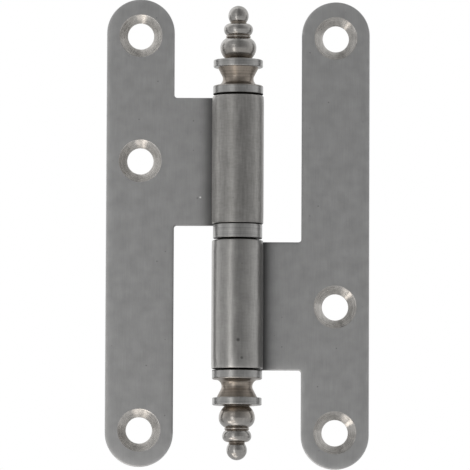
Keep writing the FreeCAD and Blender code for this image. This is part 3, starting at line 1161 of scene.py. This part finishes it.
class Profile:
    """A turned outline, drawn with straight runs and arcs."""

    crease: float = 0.02 * MM
    fewest_steps: int = 3

    def __init__(self, radius: float, height: float) -> None:
        """Start at a radius and height."""
        self.points = [(radius, height)]

    def line(self, radius: float, height: float) -> None:
        """Run straight to a place, with a close pair of places at both ends to keep the corner crisp.

        Args:
            radius: where it ends.
            height: where it ends.
        """
        start = self.points[-1]
        length = math.dist(start, (radius, height))
        if length > 3 * self.crease:
            for share in (self.crease / length, 1 - self.crease / length):
                self.points.append((start[0] + (radius - start[0]) * share,
                                    start[1] + (height - start[1]) * share))
        self.points.append((radius, height))

    def arc(self, radius: float, height: float, turn: int, centre_radius: float | None = None,
            centre_height: float | None = None, step: float = FORM_STEP) -> None:
        """Run round an arc to a place, with one coordinate of its centre known.

        Args:
            radius: where it ends.
            height: where it ends.
            turn: +1 to the left, -1 to the right.
            centre_radius: its centre's radius, if that is known.
            centre_height: its centre's height, if that is known.
            step: largest angle between two places, in degrees.
        """
        start = self.points[-1]
        run, rise = radius - start[0], height - start[1]
        level = (radius ** 2 - start[0] ** 2 + height ** 2 - start[1] ** 2) / 2
        if centre_radius is not None:
            centre = (centre_radius, (level - run * centre_radius) / rise)
        else:
            centre = ((level - rise * centre_height) / run, centre_height)
        first = math.degrees(math.atan2(start[1] - centre[1], start[0] - centre[0]))
        last = math.degrees(math.atan2(height - centre[1], radius - centre[0]))
        if turn > 0 and last < first:
            last += 360
        if turn < 0 and last > first:
            last -= 360
        steps = max(self.fewest_steps, math.ceil(abs(last - first) / step))
        self.points += arc_points(centre, math.dist(start, centre), first, last, steps)[1:]


@dataclass
class Finial:
    """One turned finial with its shank: flange, cove, collar, bulb, bead, bud and ball."""

    node: str
    body: str
    shank_length: float = 8.0 * MM
    shank_radius: float = 3.5 * MM
    shank_lead: float = 0.5 * MM
    flange_radius: float = 5.325 * MM
    flange_edge: float = 1.6 * MM
    flange_round: float = 0.33 * MM
    lip: float = 0.08 * MM
    # Height of the painted shade on the flange's lip, in the seam
    seam_shade: float = 0.10 * MM
    cove_waist: float = 3.275 * MM
    cove_height: float = 3.4 * MM
    cove_turn: float = 3.4 * MM
    cove_turn_height: float = 3.95 * MM
    cove_mouth: float = 4.35 * MM
    collar_radius: float = 5.25 * MM
    collar_foot: float = 5.8 * MM
    collar_top: float = 7.4 * MM
    collar_round: float = 0.22 * MM
    bulb_neck: float = 2.6 * MM
    bulb_neck_height: float = 7.6 * MM
    bulb_radius: float = 3.85 * MM
    bulb_height: float = 10.1 * MM
    bead_foot: float = 12.15 * MM
    bead_groove: float = 2.4 * MM
    bead_depth: float = 0.5 * MM
    bud_radius: float = 3.1 * MM
    bud_height: float = 14.0 * MM
    ball_neck: float = 1.7 * MM
    ball_neck_length: float = 0.35 * MM
    ball_radius: float = 2.175 * MM
    ball_height: float = 16.9 * MM
    seam_share: float = 0.9
    # Painted shade near the cove's waist and mouth, where these lift its recess past 1
    waist_shade: float = 0.04
    mouth_shade: float = 0.02
    foot_fade: float = 0.3
    bulb_tint: float = 0.6
    least_stain: float = 0.2
    # Painted shade at the bulb's neck and in the grooves, where the recess passes 1
    neck_shade: float = 0.25 * MM
    groove_shade: float = 1.3
    groove_reach: float = 0.25 * MM
    collar_clear: float = 0.8

    def ball_foot(self) -> float:
        """Return the height at which the ball meets its neck."""
        return self.ball_height - math.sqrt(self.ball_radius ** 2 - self.ball_neck ** 2)

    def profile(self) -> Points:
        """Draw the finial from the end of its shank to the tip of its ball.

        Returns:
            Radius and height of each place, from the finial's seat.
        """
        low = -self.shank_length
        flange_lip = self.flange_radius - self.flange_round
        flange_top = self.flange_edge + self.flange_round
        collar_lip = self.collar_radius - self.collar_round
        collar_low = self.collar_foot + self.collar_round
        collar_high = self.collar_top - self.collar_round
        bead_top = self.bead_foot + self.bead_depth
        ball_low = self.ball_foot()
        shape = Profile(0.0, low)
        shape.line(self.shank_radius - self.shank_lead, low)
        shape.line(self.shank_radius, low + self.shank_lead)
        shape.line(self.shank_radius, 0.0)
        shape.line(self.flange_radius - self.lip, 0.0)
        shape.arc(self.flange_radius, self.lip, 1, centre_height=self.lip, step=LIP_STEP)
        shape.line(self.flange_radius, self.lip + self.seam_shade)
        shape.line(self.flange_radius, self.flange_edge)
        shape.arc(flange_lip, flange_top, 1, centre_radius=flange_lip, step=ROUND_STEP)
        shape.arc(self.cove_waist, self.cove_height, -1, centre_height=self.cove_height)
        shape.arc(self.cove_turn, self.cove_turn_height, -1, centre_height=self.cove_height)
        shape.line(self.cove_mouth, self.collar_foot)
        shape.line(collar_lip, self.collar_foot)
        shape.arc(self.collar_radius, collar_low, 1, centre_height=collar_low, step=ROUND_STEP)
        shape.line(self.collar_radius, collar_high)
        shape.arc(collar_lip, self.collar_top, 1, centre_radius=collar_lip, step=ROUND_STEP)
        shape.line(self.bulb_neck, self.bulb_neck_height)
        shape.arc(self.bulb_radius, self.bulb_height, 1, centre_height=self.bulb_height)
        shape.arc(self.bead_groove, self.bead_foot, 1, centre_height=self.bulb_height)
        shape.arc(self.bead_groove, bead_top, 1, centre_radius=self.bead_groove, step=ROUND_STEP)
        shape.arc(self.bud_radius, self.bud_height, 1, centre_height=self.bud_height)
        shape.arc(self.ball_neck, ball_low - self.ball_neck_length, 1, centre_height=self.bud_height)
        shape.line(self.ball_neck, ball_low)
        shape.arc(0.0, self.ball_height + self.ball_radius, 1, centre_radius=0.0)
        return shape.points

    def recess(self, radius: float, height: float) -> float:
        """Tell how deep a place lies.

        The cove is stained all over, with painted shade added near its waist and mouth. The bulb is tinted
        warmer and darker, less and less up to the bead, and painted shade lies at its neck, in the seam
        below the flange and in the grooves between the bulb, bead, bud and ball.

        Args:
            radius: the place's radius.
            height: its height above the finial's seat.

        Returns:
            How deep it lies, above 1 where painted shade lies.
        """
        if height < self.lip + self.seam_shade * self.seam_share:
            return DEEP_SHADE
        if self.flange_edge < height < self.collar_foot:
            out = (radius - self.cove_waist) / (self.cove_mouth - self.cove_waist)
            if height < self.cove_height:
                return 1.0 + self.waist_shade - self.foot_fade * out
            return 1.0 + self.waist_shade + (self.mouth_shade - self.waist_shade) * out
        if not self.polish(radius, height):
            return 0.0
        grooves = (self.bulb_neck_height, self.bead_foot, self.bead_foot + self.bead_depth,
                   self.ball_foot() - self.ball_neck_length, self.ball_foot())
        groove = self.groove_shade - min(abs(height - place) for place in grooves) / self.groove_reach
        rise = height - self.bulb_neck_height
        neck = self.groove_shade - rise / self.neck_shade
        bulb = self.bulb_tint * (1 - rise / (self.bead_foot - self.bulb_neck_height))
        return max(self.least_stain, bulb, neck, groove)

    def polish(self, radius: float, height: float) -> float:
        """Return 1 on the bulb, bud and ball and 0 below them."""
        return float(height > self.collar_top and radius < self.collar_radius * self.collar_clear)

    def build(self, shop: Workshop, lathe: Lathe) -> bpy.types.Object:
        """Turn, place and dress the finial.

        Args:
            shop: where its material comes from.
            lathe: what turns it.

        Returns:
            The piece.
        """
        low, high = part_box(self.node)
        tip = self.ball_height + self.ball_radius
        piece = lathe.turn(f"{self.node}_turned", self.profile(), False, self.recess,
                           shop.material(TURNED), self.polish)
        if self.node.startswith("upper"):
            turn = Matrix.Translation((0.0, 0.0, high.z - tip))
        else:
            turn = Matrix.Translation((0.0, 0.0, low.z + tip)) @ Matrix.Rotation(math.pi, 4, "X")
        settle(piece, turn)
        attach(piece, self.body)
        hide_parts(self.node)
        return piece


@dataclass
class Ring:
    """The loose ring between the knuckles."""

    radius: float = 5.25 * MM
    bore: float = 3.5 * MM
    edge: float = 0.2 * MM
    bevel: float = 0.3 * MM
    unshaded_edge: float = 0.3 * MM
    face_depth: float = 0.02 * MM
    shaded_radius: float = 4.0 * MM

    def profile(self, height: float) -> Points:
        """Draw the ring's section.

        Args:
            height: the ring's height.

        Returns:
            Radius and height of each place.
        """
        side = self.radius - self.edge
        shape = Profile(self.bore + self.bevel, 0.0)
        shape.line(side, 0.0)
        shape.arc(self.radius, self.edge, 1, centre_height=self.edge, step=ROUND_STEP)
        shape.line(self.radius, height - self.edge)
        shape.arc(side, height, 1, centre_radius=side, step=ROUND_STEP)
        shape.line(self.bore + self.bevel, height)
        shape.line(self.bore, height - self.bevel)
        shape.line(self.bore, self.bevel)
        return shape.points

    def recess(self, height: float, radius: float, place: float) -> float:
        """Return how deep a place lies in a ring of a height: painted shade is on its ends and in its bore.
        """
        end = min(place, height - place) < self.face_depth and radius < self.radius - self.unshaded_edge
        return DEEP_SHADE if end or radius < self.shaded_radius else 0.0

    def build(self, shop: Workshop, lathe: Lathe) -> bpy.types.Object:
        """Turn, place and dress the ring.

        Args:
            shop: where its material comes from.
            lathe: what turns it.

        Returns:
            The piece.
        """
        low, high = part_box("friction_ring")
        height = high.z - low.z
        piece = lathe.turn("friction_ring_turned", self.profile(height), True,
                           partial(self.recess, height), shop.material(TURNED))
        settle(piece, Matrix.Translation((0.0, 0.0, low.z)))
        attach(piece, "ring")
        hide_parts("friction_ring")
        return piece


@dataclass
class Pin:
    """The ground pin, tight in the lower knuckle and free above it."""

    tight: float = 3.5 * MM
    free: float = 3.45 * MM
    shoulder: float = -1.76 * MM
    ring_top: float = 1.9 * MM
    lead: float = 0.9 * MM
    foot: float = 0.4 * MM
    shade_margin: float = 0.1 * MM
    fade_below: float = 0.3 * MM
    fade_above: float = 0.5 * MM

    def recess(self, radius: float, height: float) -> float:
        """Return how deep a place lies: painted shade is on the stretch between the knuckles."""
        return DEEP_SHADE if self.shoulder - self.shade_margin < height < self.ring_top else 0.0

    def build(self, shop: Workshop, lathe: Lathe) -> bpy.types.Object:
        """Turn and dress the pin.

        Args:
            shop: where its material comes from.
            lathe: what turns it.

        Returns:
            The piece.
        """
        low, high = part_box("hinge_pin")
        shape = Profile(0.0, low.z)
        shape.line(self.tight - self.foot, low.z)
        shape.line(self.tight, low.z + self.foot)
        shape.line(self.tight, self.shoulder - self.fade_below)
        shape.line(self.tight, self.shoulder)
        shape.line(self.free, self.shoulder)
        shape.line(self.free, self.ring_top)
        shape.line(self.free, self.ring_top + self.fade_above)
        shape.line(self.free, high.z - self.lead)
        shape.arc(self.free - self.lead, high.z, 1, centre_radius=self.free - self.lead, step=ROUND_STEP)
        shape.line(0.0, high.z)
        piece = lathe.turn("hinge_pin_ground", shape.points, False, self.recess, shop.material(GROUND))
        settle(piece, Matrix.Identity(4))
        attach(piece, "frame_half")
        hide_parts("hinge_pin")
        return piece


@dataclass(frozen=True)
class Lamp:
    """A soft lamp at a place round the hinge, facing it."""

    name: str
    place: tuple[float, float, float]
    width: float
    height: float
    watts: float
    colour: Colour

    def light(self) -> None:
        """Hang the lamp."""
        data = bpy.data.lights.new(self.name, "AREA")
        data.shape = "RECTANGLE"
        data.size, data.size_y = self.width, self.height
        data.energy = self.watts
        data.color = self.colour
        lamp = put_in_scene(self.name, data)
        lamp.location = self.place
        lamp.rotation_euler = Vector(self.place).to_track_quat("Z", "Y").to_euler()
        lamp.visible_camera = False


@dataclass(frozen=True)
class Studio:
    """Floor, backdrop, lamps and camera."""

    camera_distance: float = 1.25
    camera_elevation: float = -4.6
    camera_roll: float = 0.25
    picture_height: float = 100.25 * MM
    aim: tuple[float, float, float] = (-0.55 * MM, 3.5 * MM, -0.28 * MM)
    sensor: float = 36.0
    floor_drop: float = 0.3
    floor_size: float = 8.0
    floor_colour: Colour = (0.86, 0.86, 0.86)
    floor_roughness: float = 0.9
    backdrop_reach: tuple[float, float] = (0.82, 0.94)
    room_fall: float = 0.05
    room: tuple[tuple[float, float], ...] = (
        (-180, 0.96), (-155, 1.30), (-128, 1.55), (-115, 1.78), (-104, 1.50), (-93, 1.02),
        (-75, 0.68), (-55, 0.63), (-42, 0.71), (-33, 0.80), (-26, 0.72), (-18, 0.50),
        (-6, 0.36), (6, 0.30), (20, 0.32), (40, 0.42), (60, 0.57), (85, 0.88),
        (103, 1.16), (115, 1.08), (130, 1.04), (150, 1.04), (180, 0.96),
    )
    lamps: tuple[Lamp, ...] = (
        Lamp("window", (-0.211, -0.366, 0.154), 0.17, 0.065, 0.042, (1.0, 0.98, 0.96)),
        Lamp("key", (-0.218, -0.392, -0.125), 0.10, 0.26, 0.185, (1.0, 0.99, 0.97)),
        Lamp("low_left", (-0.085, -0.050, -0.150), 0.05, 0.05, 0.024, (1.0, 0.93, 0.86)),
        Lamp("low_near", (-0.022, -0.020, -0.170), 0.06, 0.06, 0.016, (1.0, 0.93, 0.86)),
        Lamp("low_front", (-0.105, -0.203, -0.264), 0.09, 0.16, 0.068, (1.0, 0.90, 0.80)),
    )

    def floor(self) -> None:
        """Lay the pale floor below the hinge."""
        size = self.floor_size / 2
        mesh = bpy.data.meshes.new("floor")
        corners = [(-size, -size), (size, -size), (size, size), (-size, size)]
        mesh.from_pydata([(x, y, -self.floor_drop) for x, y in corners], [], [(0, 1, 2, 3)])
        floor = put_in_scene("floor", mesh)
        material = bpy.data.materials.new("pale_floor")
        material.use_nodes = True
        shader = material.node_tree.nodes["Principled BSDF"]
        shader.inputs["Base Color"].default_value = opaque(self.floor_colour)
        shader.inputs["Roughness"].default_value = self.floor_roughness
        mesh.materials.append(material)
        floor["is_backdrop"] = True

    def world(self) -> None:
        """Make the backdrop white, in the steel as well, and the room round the viewer darker."""
        world = bpy.data.worlds.new("studio")
        bpy.context.scene.world = world
        world.use_nodes = True
        nodes = Nodes(world.node_tree)
        background = world.node_tree.nodes["Background"]
        way = nodes.add("ShaderNodeTexCoord").outputs["Generated"]
        across, deep, up = nodes.add("ShaderNodeSeparateXYZ", way).outputs
        azimuth = nodes.math("ARCTAN2", across, nodes.times(deep, -1.0))
        turn = nodes.tree.nodes.new("ShaderNodeValToRGB")
        ramp = turn.color_ramp
        for angle, _ in self.room[1:-1]:
            ramp.elements.new(angle / 360 + 0.5)
        for element, (_, level) in zip(ramp.elements, self.room):
            element.color = opaque((level / RAMP_SCALE,) * 3)
        nodes.feed(turn.inputs[0], nodes.spread(azimuth, -math.pi, math.pi))
        lowest, highest = RAMP_SCALE * (1 + self.room_fall), RAMP_SCALE * (1 - self.room_fall)
        bright = nodes.times(turn.outputs[0], nodes.spread(up, -1.0, 1.0, lowest, highest))
        rays = nodes.add("ShaderNodeLightPath")
        seen = nodes.math("MAXIMUM", rays.outputs["Is Camera Ray"], rays.outputs["Is Transmission Ray"])
        behind = nodes.spread(deep, *self.backdrop_reach)
        mirrored = nodes.times(rays.outputs["Is Glossy Ray"], behind)
        shown = nodes.math("MAXIMUM", seen, mirrored)
        nodes.feed(background.inputs["Color"], nodes.tint(shown, bright, opaque((1.0, 1.0, 1.0))))
        background.inputs["Strength"].default_value = 1.0

    def camera(self) -> None:
        """Set the camera at the picture's angle."""
        data = bpy.data.cameras.new("camera")
        data.sensor_width = self.sensor
        data.lens = self.sensor * self.camera_distance / self.picture_height
        camera = put_in_scene("camera", data)
        rise = math.radians(self.camera_elevation)
        away = Vector((0.0, -math.cos(rise), math.sin(rise)))
        camera.location = Vector(self.aim) + away * self.camera_distance
        turn = away.to_track_quat("Z", "Y").to_matrix().to_4x4()
        roll = Matrix.Rotation(math.radians(self.camera_roll), 4, "Z")
        camera.rotation_euler = (turn @ roll).to_euler()
        bpy.context.scene.camera = camera

    def build(self) -> None:
        """Set up everything round the hinge."""
        bpy.context.scene.view_settings.view_transform = "Standard"
        self.floor()
        self.world()
        for lamp in self.lamps:
            lamp.light()
        self.camera()


def describe(piece: bpy.types.Object) -> None:
    """Report a finished piece."""
    log.info("%s: %d corners, %d faces", piece.name, len(piece.data.vertices), len(piece.data.polygons))


def write_sizes() -> None:
    """Work out the frame's box and the dressed hinge's box."""
    boxes = [[list(corner) for corner in box] for box in (CAD_BOX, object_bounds())]


def main() -> None:
    """Build the hinge's pieces in order, then the studio."""
    logging.basicConfig(level=logging.INFO, format="%(name)s %(message)s")
    shop = Workshop()
    lathe = Lathe()
    describe(Leaf(Side.DOOR).build(shop))
    describe(Leaf(Side.FRAME).build(shop))
    describe(Pin().build(shop, lathe))
    describe(Ring().build(shop, lathe))
    describe(Finial("upper_finial", "door_half").build(shop, lathe))
    lower = Finial("lower_finial", "frame_half", waist_shade=-0.02, mouth_shade=0.17,
                   bulb_tint=1.0, neck_shade=0.85 * MM)
    describe(lower.build(shop, lathe))
    Studio().build()
    write_sizes()


if __name__ == "__main__":
    main()
